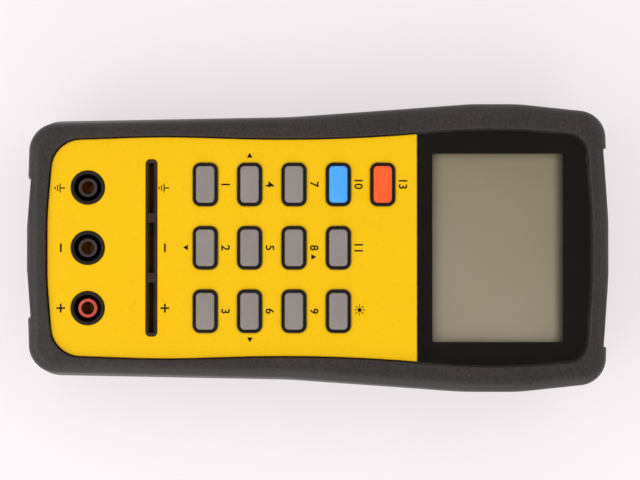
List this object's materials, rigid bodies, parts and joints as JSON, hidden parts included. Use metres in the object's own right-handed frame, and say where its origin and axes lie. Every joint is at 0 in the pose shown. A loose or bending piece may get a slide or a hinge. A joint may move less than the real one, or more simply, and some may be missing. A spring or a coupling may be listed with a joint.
{
  "type": "component tester",
  "caption": "Hand-held component tester with a tilted yellow face, display window, rubber keys, component slot, shrouded test sockets, tilt stand and battery door.",
  "frame": {"origin": "middle of the back, on the plane that the tester lies on", "axes": "+Y towards the display end, +X to the tester's right, +Z out of the table towards the face"},
  "size_m": [0.095, 0.188, 0.052],
  "materials": {
    "bumper_rubber": "satin elastomer",
    "case_plastic": "fine spark texture",
    "panel_yellow": "satin printed sheet",
    "window_clear": "polished",
    "mask_black": "printed film",
    "display_glass": "satin polariser",
    "light_guide": "polished",
    "holder_plastic": "moulded",
    "zebra_rubber": "matte",
    "key_red": "satin",
    "key_blue": "satin",
    "key_grey": "satin",
    "mat_silicone": "matte",
    "board_green": "solder mask",
    "chip_black": "moulded",
    "part_metal": "bare",
    "shield_tin": "tinned sheet",
    "buzzer_black": "moulded",
    "screw_steel": "zinc plated",
    "socket_black": "moulded",
    "socket_red": "moulded",
    "contact_brass": "turned",
    "contact_bronze": "pressed",
    "jack_black": "moulded",
    "window_red": "polished",
    "led_dark": "clear cast",
    "stand_plastic": "fine spark texture",
    "door_plastic": "fine spark texture",
    "battery_jacket": "lacquered",
    "snap_black": "moulded",
    "wire_red": "insulated",
    "wire_black": "insulated",
    "foam_grey": "open cell"
  },
  "bodies": {
    "case": {"front_case": "case_plastic", "rear_case": "case_plastic", "front_bumper": "bumper_rubber", "rear_bumper": "bumper_rubber", "face_panel": "panel_yellow", "display_lens": "window_clear", "lens_mask": "mask_black", "lcd_glass": "display_glass", "lcd_backlight": "light_guide", "lcd_holder": "holder_plastic", "zebra_strips": "zebra_rubber", "key_mat": "mat_silicone", "main_board": "board_green", "board_chips": "chip_black", "board_parts": "part_metal", "shield_can": "shield_tin", "buzzer": "buzzer_black", "board_screws": "screw_steel", "slot_body": "socket_black", "guard_slot_contact": "contact_bronze", "low_slot_contact": "contact_bronze", "high_slot_contact": "contact_bronze", "guard_socket": "socket_black", "low_socket": "socket_black", "high_socket": "socket_black", "guard_sleeve": "socket_black", "low_sleeve": "socket_black", "high_sleeve": "socket_red", "guard_contact": "contact_brass", "low_contact": "contact_brass", "high_contact": "contact_brass", "dc_jack": "jack_black", "dc_pin": "screw_steel", "infrared_window": "window_red", "infrared_emitters": "led_dark", "battery": "battery_jacket", "battery_snap": "snap_black", "battery_foam": "foam_grey", "lead_red": "wire_red", "lead_black": "wire_black", "case_screws": "screw_steel"},
    "key_power": {"key_power": "key_red"},
    "key_auto": {"key_auto": "key_blue"},
    "key_frequency": {"key_frequency": "key_grey"},
    "key_backlight": {"key_backlight": "key_grey"},
    "key_sorting": {"key_sorting": "key_grey"},
    "key_link": {"key_link": "key_grey"},
    "key_calibrate": {"key_calibrate": "key_grey"},
    "key_parameter": {"key_parameter": "key_grey"},
    "key_setup": {"key_setup": "key_grey"},
    "key_series_parallel": {"key_series_parallel": "key_grey"},
    "key_enter": {"key_enter": "key_grey"},
    "key_relative": {"key_relative": "key_grey"},
    "key_hold": {"key_hold": "key_grey"},
    "stand": {"tilt_stand": "stand_plastic"},
    "door": {"battery_door": "door_plastic", "door_screw": "screw_steel"}
  },
  "joints": [
    {"name": "power_press", "type": "slide", "parent": "case", "child": "key_power", "axis": [0, 0.0523, -0.9986], "range_m": [0, 0.0008], "stiffness_N_per_m": 250, "springref_m": -0.0006},
    {"name": "auto_press", "type": "slide", "parent": "case", "child": "key_auto", "axis": [0, 0.0523, -0.9986], "range_m": [0, 0.0008], "stiffness_N_per_m": 250, "springref_m": -0.0006},
    {"name": "frequency_press", "type": "slide", "parent": "case", "child": "key_frequency", "axis": [0, 0.0523, -0.9986], "range_m": [0, 0.0008], "stiffness_N_per_m": 250, "springref_m": -0.0006},
    {"name": "backlight_press", "type": "slide", "parent": "case", "child": "key_backlight", "axis": [0, 0.0523, -0.9986], "range_m": [0, 0.0008], "stiffness_N_per_m": 250, "springref_m": -0.0006},
    {"name": "sorting_press", "type": "slide", "parent": "case", "child": "key_sorting", "axis": [0, 0.0523, -0.9986], "range_m": [0, 0.0008], "stiffness_N_per_m": 250, "springref_m": -0.0006},
    {"name": "link_press", "type": "slide", "parent": "case", "child": "key_link", "axis": [0, 0.0523, -0.9986], "range_m": [0, 0.0008], "stiffness_N_per_m": 250, "springref_m": -0.0006},
    {"name": "calibrate_press", "type": "slide", "parent": "case", "child": "key_calibrate", "axis": [0, 0.0523, -0.9986], "range_m": [0, 0.0008], "stiffness_N_per_m": 250, "springref_m": -0.0006},
    {"name": "parameter_press", "type": "slide", "parent": "case", "child": "key_parameter", "axis": [0, 0.0523, -0.9986], "range_m": [0, 0.0008], "stiffness_N_per_m": 250, "springref_m": -0.0006},
    {"name": "setup_press", "type": "slide", "parent": "case", "child": "key_setup", "axis": [0, 0.0523, -0.9986], "range_m": [0, 0.0008], "stiffness_N_per_m": 250, "springref_m": -0.0006},
    {"name": "series_parallel_press", "type": "slide", "parent": "case", "child": "key_series_parallel", "axis": [0, 0.0523, -0.9986], "range_m": [0, 0.0008], "stiffness_N_per_m": 250, "springref_m": -0.0006},
    {"name": "enter_press", "type": "slide", "parent": "case", "child": "key_enter", "axis": [0, 0.0523, -0.9986], "range_m": [0, 0.0008], "stiffness_N_per_m": 250, "springref_m": -0.0006},
    {"name": "relative_press", "type": "slide", "parent": "case", "child": "key_relative", "axis": [0, 0.0523, -0.9986], "range_m": [0, 0.0008], "stiffness_N_per_m": 250, "springref_m": -0.0006},
    {"name": "hold_press", "type": "slide", "parent": "case", "child": "key_hold", "axis": [0, 0.0523, -0.9986], "range_m": [0, 0.0008], "stiffness_N_per_m": 250, "springref_m": -0.0006},
    {"name": "stand_hinge", "type": "hinge", "parent": "case", "child": "stand", "pos_m": [0, 0.052, 0.0036], "axis": [1, 0, 0], "range_deg": [0, 60]},
    {"name": "door_lift_off", "type": "slide", "parent": "case", "child": "door", "axis": [0, 0, -1], "range_m": [0, 0.02]}
  ]
}
